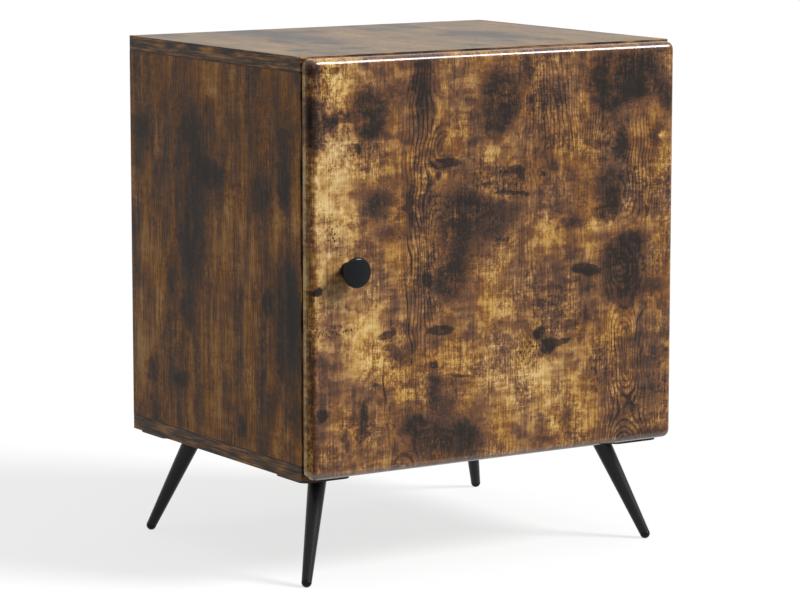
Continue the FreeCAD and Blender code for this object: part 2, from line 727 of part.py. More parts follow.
def hinge_plate(z):
    """Wings with the two board screws, and the ridge that the arm sits on."""
    top, bottom = hinge_plate_screw_points(z)
    wing = Part.Face(capsule(bottom, top, BACKWARD * (WING_WIDTH / 2))).extrude(RIGHT * WING_THICKNESS)
    start = plan(ARM_HEIGHT - ARM_SHEET, RIDGE_START)
    end = plan(0, ARM_END)
    ridge = box(start.x, end.x, start.y, end.y, z - RIDGE_HALF, z + RIDGE_HALF)
    plate = wing.fuse(ridge).removeSplitter()
    cuts = [wood_screw_bore(p, RIGHT) for p in hinge_plate_screw_points(z)]
    return plate.cut(cuts + [arm_screw_bore(z, back) for back in ARM_SCREW_PLACES])


def hinge_plate_screw_bores():
    levels = hinge_heights().values()
    return [wood_screw_bore(p, RIGHT) for z in levels for p in hinge_plate_screw_points(z)]


def cup_screw_points(z):
    seat = cup_plan(-EAR_OFFSET, 0)
    return [seat + UP * (z + EAR_SPACING / 2), seat + UP * (z - EAR_SPACING / 2)]


def cup_flange(z, margin):
    """Ring round the cup's mouth with an ear above and below, let in flush with the door's back."""
    mouth = cup_plan(0, 0) + UP * z
    floor = FORWARD * FLANGE_THICKNESS
    ring = rod(FLANGE_DIAMETER + 2 * margin, mouth, mouth + floor)
    top, bottom = cup_screw_points(z)
    half = EAR_WIDTH / 2 + margin
    bar = box(top.x - half, top.x + half, top.y + floor.y, top.y, bottom.z, top.z)
    ears = [rod(EAR_WIDTH + 2 * margin, p, p + floor) for p in (top, bottom)]
    return ring.fuse([bar] + ears).removeSplitter()


def cup_lugs(z):
    """Two posts inside the cup, clear of the arm, that hold the ends of the cup pins."""
    floor = cup_plan(0, CUP_DEPTH).y
    inner = min(CUP_OUTER.x, CUP_INNER.x) - LUG_MARGIN
    outer = CUP_X + CUP_DIAMETER / 2
    ranges = both_sides(z, LUG_NEAR, LUG_FAR)
    return [box(inner, outer, floor, DOOR_BACK, low, high) for low, high in ranges]


def hinge_cup(z):
    mouth = cup_plan(0, 0) + UP * z
    body = rod(CUP_DIAMETER, mouth, mouth + FORWARD * CUP_DEPTH)
    floor = mouth + FORWARD * (CUP_DEPTH - CUP_WALL)
    hollow = rod(CUP_DIAMETER - 2 * CUP_WALL, mouth + BACKWARD * OVERRUN, floor)
    lugs = [lug.common(body) for lug in cup_lugs(z)]
    cup = body.fuse(cup_flange(z, 0)).cut(hollow).fuse(lugs).removeSplitter()
    pins = [cup_pin_bore(CUP_OUTER, z), cup_pin_bore(CUP_INNER, z)]
    return cup.cut(pins + [wood_screw_bore(p, FORWARD) for p in cup_screw_points(z)])


def cup_pin_bore(place, z):
    return rod(PIN_DIAMETER + 2 * FIT, place + UP * (z - LUG_FAR), place + UP * (z + LUG_FAR))


def hinge_cup_pockets():
    """Bores in the door's back for the cups, their flanges and their screws."""
    cuts = []
    for z in hinge_heights().values():
        mouth = cup_plan(0, 0) + UP * z
        cuts.append(rod(CUP_DIAMETER + 2 * FIT, mouth, mouth + FORWARD * (CUP_DEPTH + BORE_END_PLAY)))
        cuts.append(cup_flange(z, FIT))
        cuts += [wood_screw_bore(p, FORWARD) for p in cup_screw_points(z)]
    return cuts


def arm_pins(z):
    stubs = [pin(ARM_OUTER, low, high) for low, high in both_sides(z, OUTER_LINK_NEAR, ARM_FAR + PIN_HEAD)]
    return stubs + [pin(ARM_INNER, z - ARM_FAR - PIN_HEAD, z + ARM_FAR + PIN_HEAD)]


def cup_pins(z):
    stubs = [pin(CUP_OUTER, low, high) for low, high in both_sides(z, OUTER_LINK_NEAR, LUG_FAR)]
    return stubs + [pin(CUP_INNER, z - LUG_FAR, z + LUG_FAR)]


def save_hinges():
    heights = hinge_heights()
    for name, z in heights.items():
        save(name + "_hinge_cup", [hinge_cup(z)])
        save(name + "_hinge_arm", [hinge_arm(z)])
        save(name + "_hinge_plate", [hinge_plate(z)])
        save(name + "_outer_link", [outer_link(z)])
        save(name + "_inner_link", [inner_link(z)])
    levels = list(heights.values())
    save("hinge_arm_pins", [p for z in levels for p in arm_pins(z)])
    save("hinge_cup_pins", [p for z in levels for p in cup_pins(z)])
    save("hinge_arm_screws", [arm_screw(z, back) for z in levels for back in ARM_SCREW_PLACES])
    save("hinge_plate_screws", [wood_screw(p, RIGHT) for z in levels for p in hinge_plate_screw_points(z)])
    save("hinge_cup_screws", [wood_screw(p, FORWARD) for z in levels for p in cup_screw_points(z)])


os.makedirs("parts", exist_ok=True)
save_carcass()
save_fittings()
save_door()
save_hinges()
save_legs()
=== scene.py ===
import json
import math
import bmesh
import bpy
import numpy as np
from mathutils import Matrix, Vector, noise

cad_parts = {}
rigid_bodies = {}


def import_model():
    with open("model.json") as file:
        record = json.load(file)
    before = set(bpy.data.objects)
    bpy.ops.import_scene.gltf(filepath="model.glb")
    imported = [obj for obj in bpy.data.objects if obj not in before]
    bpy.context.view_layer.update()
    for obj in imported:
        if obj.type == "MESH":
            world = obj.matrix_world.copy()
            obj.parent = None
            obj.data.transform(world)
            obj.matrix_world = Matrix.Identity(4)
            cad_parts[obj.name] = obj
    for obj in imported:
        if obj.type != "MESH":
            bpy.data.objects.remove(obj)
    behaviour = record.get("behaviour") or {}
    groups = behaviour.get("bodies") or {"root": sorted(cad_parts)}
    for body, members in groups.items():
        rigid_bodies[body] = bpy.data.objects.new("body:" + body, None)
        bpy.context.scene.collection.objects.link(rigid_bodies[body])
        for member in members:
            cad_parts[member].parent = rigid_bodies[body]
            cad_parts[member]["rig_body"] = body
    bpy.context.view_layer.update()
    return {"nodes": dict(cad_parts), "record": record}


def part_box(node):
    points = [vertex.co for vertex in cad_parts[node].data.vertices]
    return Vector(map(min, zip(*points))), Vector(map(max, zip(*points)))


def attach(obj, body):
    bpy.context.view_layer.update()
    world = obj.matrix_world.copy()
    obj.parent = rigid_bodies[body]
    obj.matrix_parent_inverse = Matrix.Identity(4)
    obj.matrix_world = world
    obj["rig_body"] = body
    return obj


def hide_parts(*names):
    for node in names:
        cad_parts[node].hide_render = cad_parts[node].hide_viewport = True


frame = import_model()
slots = {entry["node"]: entry["material_slot"] for entry in frame["record"]["subparts"]}

# Lengths in metres
MM = 0.001
BAND_ROUND = 0.35 * MM
# How deep the marks of a print reach round an edge
MARK_DEPTH = 60 * MM
# Corners closer than this are one, and a cut closer than this to a corner goes through it
MERGE = 1e-6
CUT_PLAY = 1e-7
# Faces that meet at less than these angles look like one, or are one
SMOOTH_ANGLE = math.radians(32)
FLAT_ANGLE = math.radians(1)
ALONG_X = Vector((1, 0, 0))
ALONG_Y = Vector((0, 1, 0))
UPWARD = Vector((0, 0, 1))


def hue(code):
    """Linear RGBA of an sRGB hex colour."""
    parts = [int(code[i:i + 2], 16) / 255 for i in (1, 3, 5)]
    return [c / 12.92 if c <= 0.04045 else ((c + 0.055) / 1.055) ** 2.4 for c in parts] + [1.0]


def add(tree, kind, sockets=None, stops=(), **settings):
    """Adds a node with its settings and colour stops, gives each named socket a value or a link,
    and returns the first output. A stop is a place on a ramp and an sRGB colour."""
    node = tree.nodes.new(kind)
    for name, value in settings.items():
        setattr(node, name, value)
    for i, (place, code) in enumerate(stops):
        row = node.color_ramp.elements
        stop = row[i] if i < len(row) else row.new(place)
        stop.position = place
        stop.color = hue(code)
    for name, value in (sockets or {}).items():
        if isinstance(value, bpy.types.NodeSocket):
            tree.links.new(value, node.inputs[name])
        else:
            node.inputs[name].default_value = value
    return node.outputs[0] if node.outputs else None


def new_material(name):
    """A material without nodes, and its tree."""
    material = bpy.data.materials.new(name)
    material.use_nodes = True
    material.node_tree.nodes.clear()
    return material, material.node_tree


def new_group(name, inputs, output):
    """A group of nodes with the named inputs and one number as its output, and what it is given."""
    group = bpy.data.node_groups.new(name, "ShaderNodeTree")
    for title, kind in inputs.items():
        group.interface.new_socket(title, in_out="INPUT", socket_type="NodeSocket" + kind)
    group.interface.new_socket(output, in_out="OUTPUT", socket_type="NodeSocketFloat")
    return group, add(group, "NodeGroupInput").node.outputs


# Marks of the rustic wood print, placed one by one

# On the door: across and up from its lower left corner, half width and height in mm, turn in degrees, weight
# Stains; the one at (29, 217), left of the knob, is partly a stain and partly the knob's painted shadow
DOOR_SOFT = (
    (15, 363, 26, 8, 0, 0.55), (3, 358, 9, 22, 0, 0.85), (40, 362, 18, 4, 0, 0.3),
    (6, 342, 12, 15, 0, 0.42), (13, 392, 4, 11, 0, 0.25), (29, 217, 10, 15, 0, 0.22),
    (9.5, 190, 5, 5, 0, 0.6), (276, 127, 6, 6, 0, 0.45), (287, 113, 8, 7, 0, 0.5), (4, 410, 6, 9, 0, 0.4),
    (69, 368, 21, 25, 8, 0.5), (66, 345, 18, 10, 0, 0.32), (99, 386, 13, 10, 0, 0.25),
    (133, 394, 13, 30, 0, 0.52), (125, 350, 11, 30, 0, 0.2), (152, 332, 6, 18, 0, 0.25),
    (76, 273, 23, 18, 0, 0.42), (92, 240, 17, 10, 0, 0.28), (115, 271, 7, 26, 0, 0.42),
    (174, 246, 30, 45, 0, 0.44), (166, 188, 20, 24, 20, 0.4), (195, 262, 25, 14, 0, 0.2),
    (226, 374, 24, 26, 0, 0.56), (219, 339, 15, 14, 0, 0.45), (257, 402, 7, 17, 0, 0.35),
    (277, 318, 14, 38, 0, 0.2), (291, 299, 9, 9, 0, 0.25), (376, 381, 37, 29, 0, 0.62),
    (407, 392, 25, 22, 0, 0.4), (437, 362, 14, 20, 0, 0.36), (354, 357, 18, 10, 0, 0.3),
    (352, 388, 15, 22, 0, 0.3), (423, 324, 12, 12, 0, 0.34), (375, 319, 11, 20, 0, 0.45),
    (361, 270, 20, 23, 0, 0.48), (361, 246, 17, 8, 0, 0.4), (315, 238, 19, 9, 0, 0.33),
    (321, 268, 13, 30, 0, 0.18), (381, 190, 31, 31, 0, 0.5), (386, 214, 22, 11, 0, 0.3),
    (383, 160, 22, 17, 0, 0.4), (424, 164, 15, 10, 0, 0.3), (332, 141, 9, 15, 0, 0.33),
    (229, 251, 24, 15, 0, 0.32), (217, 234, 18, 9, 0, 0.25), (222, 137, 15, 8, 0, 0.25),
    (95, 123, 7, 13, 20, 0.33), (110, 113, 12, 9, 0, 0.33), (145, 82, 10, 18, 0, 0.33),
    (152, 30, 52, 27, 0, 0.4), (120, 45, 20, 9, 0, 0.3), (188, 26, 18, 20, 0, 0.25),
    (171, 86, 24, 8, 0, 0.24), (160, 66, 15, 11, 0, 0.22), (26, 117, 19, 14, 0, 0.2),
    (41, 38, 6, 13, 0, 0.33), (308, 35, 8, 15, 0, 0.33), (280, 14, 22, 8, 0, 0.28),
    (347, 70, 9, 22, 0, 0.24), (421, 55, 21, 27, 0, 0.22), (418, 9, 30, 7, 0, 0.33),
    (60, 56, 7, 24, 0, 0.5), (205, 395, 12, 24, 0, 0.12),
)
# Small dark spots with sharper edges
DOOR_SHARP = (
    (27, 408, 8, 4.5, 0, 0.42), (55, 329, 4, 6, 20, 0.45), (157, 309, 20, 5, 0, 0.55),
    (150, 296, 4, 6, 0, 0.35), (137, 193, 8, 8, 0, 0.4), (208, 285, 10, 3, 0, 0.35),
    (240, 297, 16, 5, 10, 0.35), (235, 275, 19, 3, -4, 0.38), (258, 272, 7, 3, 0, 0.35),
    (253, 290, 6, 8, 0, 0.28), (230, 227, 13, 4, 0, 0.26), (262, 368, 5, 5, 0, 0.28),
    (278, 291, 5, 3, 0, 0.4), (333, 188, 19, 7, -8, 0.45), (275, 127, 7, 6, 20, 0.55),
    (286, 112, 10, 8, 20, 0.6), (303, 115, 15, 3, 6, 0.5), (152, 140, 16, 5, 0, 0.55),
    (88, 140, 11, 4, 12, 0.52), (95, 152, 4, 9, 10, 0.25), (145, 105, 7, 5, 0, 0.35),
    (12, 66, 7, 8, 0, 0.38), (9, 190, 5, 5, 0, 0.55), (75, 91, 7, 2, 0, 0.3), (180, 91, 18, 2.5, -6, 0.3),
    (388, 47, 3, 24, 40, 0.3), (390, 47, 3, 24, -42, 0.3), (410, 245, 4, 8, 10, 0.3),
)
# Light patches
DOOR_LIGHT = (
    (25, 290, 32, 85, 0, 0.33), (22, 262, 18, 45, 0, 0.1), (38, 402, 42, 24, 0, 0.22),
    (30, 328, 22, 22, 0, 0.12), (48, 165, 56, 42, 0, 0.24), (62, 118, 42, 34, 0, 0.16),
    (30, 215, 30, 26, 0, 0.16), (270, 74, 66, 46, 0, 0.22), (270, 80, 22, 28, 0, 0.08),
    (232, 178, 32, 36, 0, 0.1), (221, 118, 26, 42, 0, 0.14), (268, 228, 28, 34, 0, 0.1),
    (366, 235, 36, 10, 0, 0.26), (340, 214, 14, 22, 0, 0.12), (226, 322, 26, 17, 0, 0.14),
    (186, 396, 28, 28, 0, 0.08), (293, 397, 5, 26, 0, 0.16), (311, 392, 6, 32, 0, 0.2),
    (326, 360, 12, 14, 0, 0.12), (368, 138, 7, 20, 0, 0.22), (396, 141, 5, 18, -14, 0.25),
    (65, 20, 60, 22, 0, 0.06), (160, 380, 14, 16, 0, 0.08), (330, 30, 26, 26, 0, 0.06),
    (430, 323, 4, 3.2, 0, 0.75), (157, 294, 4, 4, 0, 0.4), (380, 252, 8, 3, 8, 0.4),
    (383, 187, 14, 12, 0, 0.1),
)
# Upright strips along the left edge: painted highlights on the side face and along the front's edge, with
# painted shade on the round-over between
DOOR_EDGE_HIGHLIGHTS_AND_SHADE = (
    (8.5, 330, 2.6, 110, 0, 0.22), (8.5, 120, 2.6, 100, 0, 0.15), (4.4, 210, 3.4, 400, 0, -0.13),
    (0, 210, 0.2, 400, 0, 0.26),
)
# Cracks: thin dark lines that wander
DOOR_CRACKS = (
    (112, 180, 1.3, 26, 4, 0.5), (117, 225, 1.1, 26, 4, 0.45), (84, 84, 1.2, 26, -1, 0.5),
    (145, 222, 1.3, 24, 4, 0.35), (117, 140, 1.2, 28, 3, 0.35), (90, 50, 1.0, 22, 2, 0.25),
    (148, 262, 1.2, 30, 2, 0.3), (281, 340, 1.1, 40, 3, 0.25), (306, 330, 1.2, 44, 6, 0.3),
    (403, 120, 1.1, 40, -10, 0.3), (124, 100, 1.0, 40, 1, 0.3),
)
# Where the growth rings show as lines
DOOR_LINED = (
    (132, 330, 22, 110, 0, 0.9), (128, 160, 18, 70, 0, 0.7), (295, 390, 45, 45, 0, 0.45),
    (290, 320, 40, 60, 0, 0.4), (400, 285, 24, 60, 0, 0.8), (345, 330, 24, 24, 0, 0.55),
    (380, 95, 34, 60, 0, 0.7), (110, 14, 18, 24, 0, 0.7), (270, 185, 26, 40, 0, 0.35),
    (330, 175, 16, 50, 0, 0.3), (383, 187, 30, 26, 0, 0.5), (385, 15, 42, 34, 0, 0.75),
)
# Where small pits show
DOOR_PITTED = (
    (26, 243, 8, 13, 0, 1.2), (25, 310, 8, 9, 0, 0.7), (18, 405, 20, 12, 0, 0.6),
    (262, 112, 14, 17, 0, 1.5), (24, 150, 24, 5, 0, 1.3), (230, 285, 34, 18, 0, 0.6),
    (12, 385, 10, 24, 0, 0.5),
)
# Knots that the growth rings bend round: rings from the left edge, up, half width and height in mm, push
DOOR_KNOTS = (
    (91, 187, 70, 78, 0.9), (92, 2, 90, 84, 0.9), (38, 326, 50, 84, 0.9), (26, -6, 50, 80, 0.7),
    (88, 318, 50, 70, 0.7), (66, 290, 40, 50, 0.6), (65, 120, 40, 50, 0.6),
)
# The same on the sides and the top, seen from outside
# Across from the left, and up from the underside of the box or back from the front of the top
SIDE_SOFT = (
    (25, 325, 24, 24, 0, 0.41), (128, 316, 34, 56, 0, 0.46), (130, 212, 30, 62, 0, 0.46),
    (88, 176, 10, 26, 0, 0.4), (118, 140, 17, 17, 0, 0.34), (43, 68, 17, 12, 0, 0.43),
    (48, 90, 7, 17, 0, 0.31), (50, 28, 17, 24, 0, 0.36), (104, 68, 20, 14, 0, 0.43),
    (180, 290, 26, 20, 0, 0.43), (165, 366, 10, 8, 0, 0.36), (275, 281, 23, 24, 0, 0.34),
    (266, 340, 16, 36, 0, 0.24), (321, 326, 22, 46, 0, 0.36), (318, 286, 11, 17, 0, 0.43),
    (327, 176, 36, 48, 0, 0.48), (284, 172, 14, 16, 0, 0.38), (327, 114, 30, 30, 0, 0.4),
    (292, 70, 12, 20, 0, 0.36), (340, 60, 15, 24, 0, 0.36), (233, 38, 9, 12, 0, 0.46),
    (60, 380, 50, 40, 0, 0.17), (290, 390, 50, 26, 0, 0.17),
)
SIDE_LIGHT = (
    (20, 90, 30, 32, 0, 0.3), (14, 140, 22, 28, 0, 0.22), (57, 120, 8, 60, 0, 0.24),
    (10, 268, 12, 24, 0, 0.2), (26, 202, 30, 20, 0, 0.15), (55, 310, 5, 15, 0, 0.22),
    (237, 212, 30, 42, 0, 0.2), (205, 255, 6, 10, 0, 0.2), (305, 258, 14, 30, 0, 0.2),
    (340, 259, 14, 12, 0, 0.2), (180, 230, 22, 24, 0, 0.12), (90, 392, 6, 22, 0, 0.16),
    (165, 396, 7, 16, 0, 0.18), (178, 376, 12, 3, 0, 0.28), (214, 400, 7, 13, 0, 0.22),
    (236, 108, 16, 36, 0, 0.15), (186, 118, 30, 36, 0, 0.12), (190, 40, 24, 24, 0, 0.1),
    (320, 40, 7, 17, 0, 0.14), (20, 40, 24, 22, 0, 0.14),
)
SIDE_CRACKS = (
    (65, 150, 1.5, 120, 1, 0.3), (97, 300, 1.2, 90, 0, 0.2), (152, 250, 1.2, 120, 0, 0.2),
    (250, 200, 1.2, 90, 1, 0.2),
)
SIDE_LINED = (
    (75, 200, 40, 200, 0, 0.35), (250, 180, 50, 160, 0, 0.35),
)
SIDE_PITTED = (
    (215, 30, 14, 14, 0, 0.8),
)
SIDE_KNOTS = (
    (78, 170, 60, 120, 0.5), (36, 330, 60, 120, 0.5),
)
DOOR_MARKS = {
    "stain": DOOR_SOFT, "spot": DOOR_SHARP, "glow": DOOR_LIGHT + DOOR_EDGE_HIGHLIGHTS_AND_SHADE, "ring": DOOR_LINED,
    "pit": DOOR_PITTED,
}
SIDE_MARKS = {"stain": SIDE_SOFT, "spot": (), "glow": SIDE_LIGHT, "ring": SIDE_LINED, "pit": SIDE_PITTED}
NO_MARKS = {"stain": (), "spot": (), "glow": (), "ring": (), "pit": ()}

# Rustic wood print

# Noise layers: size across and up the grain in mm, octaves, roughness
# Fibre and speck are drawn two to four times as wide as real streaks and pores, so that they show
DOOR_LAYERS = {
    "cloud": (44, 70, 6.0, 0.62), "smear": (34, 9, 5.0, 0.62), "fibre": (2.2, 48, 4.0, 0.65),
    "weave": (14, 1.5, 3.0, 0.6), "speck": (1.8, 4.5, 3.0, 0.7), "sway": (60, 190, 2.0, 0.5),
    "pit": (2.0, 4.6, 3.0, 0.7), "flake": (17, 24, 6.0, 0.68), "chip": (7, 5, 5.0, 0.7),
}
BOARD_LAYERS = {
    "cloud": (24, 120, 6.0, 0.6), "smear": (30, 10, 4.0, 0.6), "fibre": (2.6, 90, 4.0, 0.65),
    "weave": (14, 1.5, 3.0, 0.6), "speck": (2.4, 5.0, 3.0, 0.7), "sway": (60, 190, 2.0, 0.5),
    "pit": (2.6, 5, 3.0, 0.7), "flake": (9, 46, 5.0, 0.66), "chip": (6, 12, 4.0, 0.7),
}
# Layers that break off sharply, like worn paint, and marks: where they begin to show and are full
FLAKES = {"flake": {"From Min": 0.44, "From Max": 0.56}, "chip": {"From Min": 0.42, "From Max": 0.58}}
STAIN_EDGE = {"From Min": 0.41, "From Max": 0.55}
SPOT_EDGE = {"From Min": 0.36, "From Max": 0.5}
PIT_EDGE = {"From Min": 0.56, "From Max": 0.61}
CRACK_EDGE = {"From Min": 1.2, "From Max": 0.3}
# Fields that the corners of a board's mesh carry: the marks, and the weight of the seal coat
FIELDS = ("stain", "spot", "glow", "ring", "pit", "seal")
# Share of each layer in the ragged edge of a stain and of a spot, in the tone, and in its fine texture
STAIN_SHARES = {
    "cloud": 0.8, "smear": 0.9, "fibre": 0.55, "speck": 0.5, "weave": 0.25, "flake": 0.24, "chip": 0.16,
}
SPOT_SHARES = {"smear": 0.5, "speck": 0.7, "chip": 0.14}
DOOR_SHARES = {"cloud": 0.8, "smear": 0.6, "fibre": 0.35, "flake": 0.2}
BOARD_SHARES = {"cloud": 1.2, "smear": 0.4, "fibre": 0.8, "flake": 0.16}
TOP_SHARES = {"cloud": 0.45, "smear": 0.2, "fibre": 0.3, "flake": 0.05}
DOOR_FINE = {"fibre": 0.36, "weave": 0.32, "speck": 0.66, "chip": 0.14}
BOARD_FINE = {"weave": 0.3, "speck": 0.5, "chip": 0.1}
# A noise layer varies about this value
NOISE_MIDDLE = 0.5
# How far each mark darkens the tone, or lightens it
HAZE_WEIGHT = -0.1
STAIN_WEIGHT = -0.34
SPOT_WEIGHT = -0.4
RING_WEIGHT = -0.36
PIT_WEIGHT = -0.85
# How far the folded edge is lightened, as a painted highlight
FOLD_PAINTED_HIGHLIGHT = 0.27
# The fine texture comes and goes over areas of this size in mm
CALM_SIZE = 60
CALM_RANGE = {"From Min": 0.4, "From Max": 0.6, "To Min": 0.3, "To Max": 1.3}
# Growth rings in mm: their spacing, and how they wander
RING_SPACING = 4.2
WANDER_SIZE = 30
WANDER_REACH = 7
SWAY_SHARE = 5.0
WANDER_MIDDLE = 3.0
# A mark reaches through the sheet
THROUGH = 1e9
# The sheet's outer edge is folded back this far round the door's left edge, in mm
FOLD_EDGE = {"From Min": -9.0, "From Max": -10.5}
# Tones that take the darkest and the lightest colour, and how the clouds make the colour duller or fuller
TONE_RANGE = {"From Min": -0.25, "From Max": 1.0}
LIVELY_RANGE = {"From Min": 0.35, "From Max": 0.65, "To Min": 0.92, "To Max": 1.04}
# How the fibres make the sheen smoother or rougher, and the height of the embossing
FIBRE_RANGE = {"From Min": 0.3, "From Max": 0.7}
SMOOTHER = 0.05
ROUGHER = 0.06
PRINT_RELIEF = {"Strength": 0.06, "Distance": 0.1 * MM}
# Clear melamine resin over the door's print: its plain weight, and how smooth and dense it is
SEAL = 0.23
SEAL_COAT = {"Coat Roughness": 0.08, "Coat IOR": 1.65}
# From charcoal to gold, as places on the tone and colours
DOOR_COLOURS = (
    (0.0, "#1F1713"), (0.2, "#2C2019"), (0.28, "#402D21"), (0.4, "#563927"), (0.54, "#754D2E"),
    (0.64, "#906336"), (0.74, "#AF8347"), (0.84, "#C79E5E"), (0.94, "#D9B676"), (1.0, "#E3C68E"),
)
BOARD_COLOURS = (
    (0.0, "#1D1713"), (0.2, "#281F18"), (0.28, "#3A2B1F"), (0.4, "#563B24"), (0.54, "#794F29"),
    (0.64, "#956131"), (0.76, "#B27C40"), (0.88, "#C8955A"), (1.0, "#D8AE78"),
)
# On the top the print's colours are greyed and turned olive as a painted reflection
TOP_COLOURS_WITH_PAINTED_REFLECTION = (
    (0.0, "#1F1A13"), (0.28, "#403324"), (0.4, "#55422B"), (0.54, "#735733"), (0.74, "#AB894C"),
    (1.0, "#E2CD9C"),
)
DOOR_FINISH = {
    "layers": DOOR_LAYERS, "shares": DOOR_SHARES, "fine": DOOR_FINE, "colours": DOOR_COLOURS,
    "tone": 0.435, "glow": 0.75, "roughness": 0.36, "specular": 0.06, "sealed": True,
}
BOARD_FINISH = {
    "layers": BOARD_LAYERS, "shares": BOARD_SHARES, "fine": BOARD_FINE, "colours": BOARD_COLOURS,
    "tone": 0.487, "glow": 0.9, "roughness": 0.42, "specular": 0.1, "sealed": False,
}
# The top: a calmer print with weaker gold, in colours that carry a painted reflection
TOP_PRINT_WITH_PAINTED_REFLECTION = dict(BOARD_FINISH, shares=TOP_SHARES, colours=TOP_COLOURS_WITH_PAINTED_REFLECTION, glow=0.25, tone=0.4, roughness=0.36)


def crack_group():
    """One thin crack on a print: lowers the tone where it runs."""
    group, given = new_group("print_crack", {
        "Place": "Vector", "Middle": "Vector", "Reach": "Vector", "Turn": "Float", "Weight": "Float",
        "Tone": "Float"}, "Tone")
    away = add(group, "ShaderNodeVectorMath", {0: given["Place"], 1: given["Middle"]}, operation="SUBTRACT")
    turned = add(group, "ShaderNodeVectorRotate", {
        "Vector": away, "Angle": given["Turn"]}, rotation_type="Z_AXIS")
    scaled = add(group, "ShaderNodeVectorMath", {0: turned, 1: given["Reach"]}, operation="DIVIDE")
    far = add(group, "ShaderNodeVectorMath", {0: scaled}, operation="LENGTH").node.outputs["Value"]
    share = add(group, "ShaderNodeMapRange", {"Value": far, **CRACK_EDGE})
    tone = add(group, "ShaderNodeMath", {
        0: share, 1: given["Weight"], 2: given["Tone"]}, operation="MULTIPLY_ADD")
    add(group, "NodeGroupOutput", {"Tone": tone})
    return group


def knot_group():
    """One knot on a print: pushes the growth rings aside, so that they close round it and arch past it."""
    group, given = new_group("print_knot", {
        "Place": "Vector", "Middle": "Vector", "Reach": "Vector", "Push": "Float", "Run": "Float"}, "Run")
    away = add(group, "ShaderNodeVectorMath", {0: given["Place"], 1: given["Middle"]}, operation="SUBTRACT")
    scaled = add(group, "ShaderNodeVectorMath", {0: away, 1: given["Reach"]}, operation="DIVIDE")
    far = add(group, "ShaderNodeVectorMath", {0: scaled}, operation="LENGTH").node.outputs["Value"]
    push = add(group, "ShaderNodeMapRange", {
        "Value": far, "From Min": 1.0, "From Max": 0.0, "To Max": given["Push"]},
        interpolation_type="SMOOTHSTEP")
    parts = add(group, "ShaderNodeSeparateXYZ", {"Vector": away}).node.outputs
    rise = add(group, "ShaderNodeMath", {0: parts["Y"], 1: push}, operation="MULTIPLY")
    slant = add(group, "ShaderNodeCombineXYZ", {"X": parts["X"], "Y": rise})
    out = add(group, "ShaderNodeVectorMath", {0: slant}, operation="LENGTH").node.outputs["Value"]
    level = add(group, "ShaderNodeMath", {0: parts["X"]}, operation="ABSOLUTE")
    more = add(group, "ShaderNodeMath", {0: out, 1: level}, operation="SUBTRACT")
    side = add(group, "ShaderNodeMath", {0: parts["X"]}, operation="SIGN")
    run = add(group, "ShaderNodeMath", {0: more, 1: side, 2: given["Run"]}, operation="MULTIPLY_ADD")
    add(group, "NodeGroupOutput", {"Run": run})
    return group


CRACK = crack_group()
KNOT = knot_group()


def noise_layers(tree, face, unit, table):
    """The noise layers of a table, on a face where a millimetre has the length of the given unit."""
    layers = {}
    for layer, (size_across, size_up, detail, rough) in table.items():
        scale = (1 / (size_across * unit), 1 / (size_up * unit), 0)
        stretched = add(tree, "ShaderNodeVectorMath", {0: face, 1: scale}, operation="MULTIPLY")
        layers[layer] = add(tree, "ShaderNodeTexNoise", {
            "Vector": stretched, "Scale": 1.0, "Detail": detail, "Roughness": rough}, noise_dimensions="2D")
    return layers


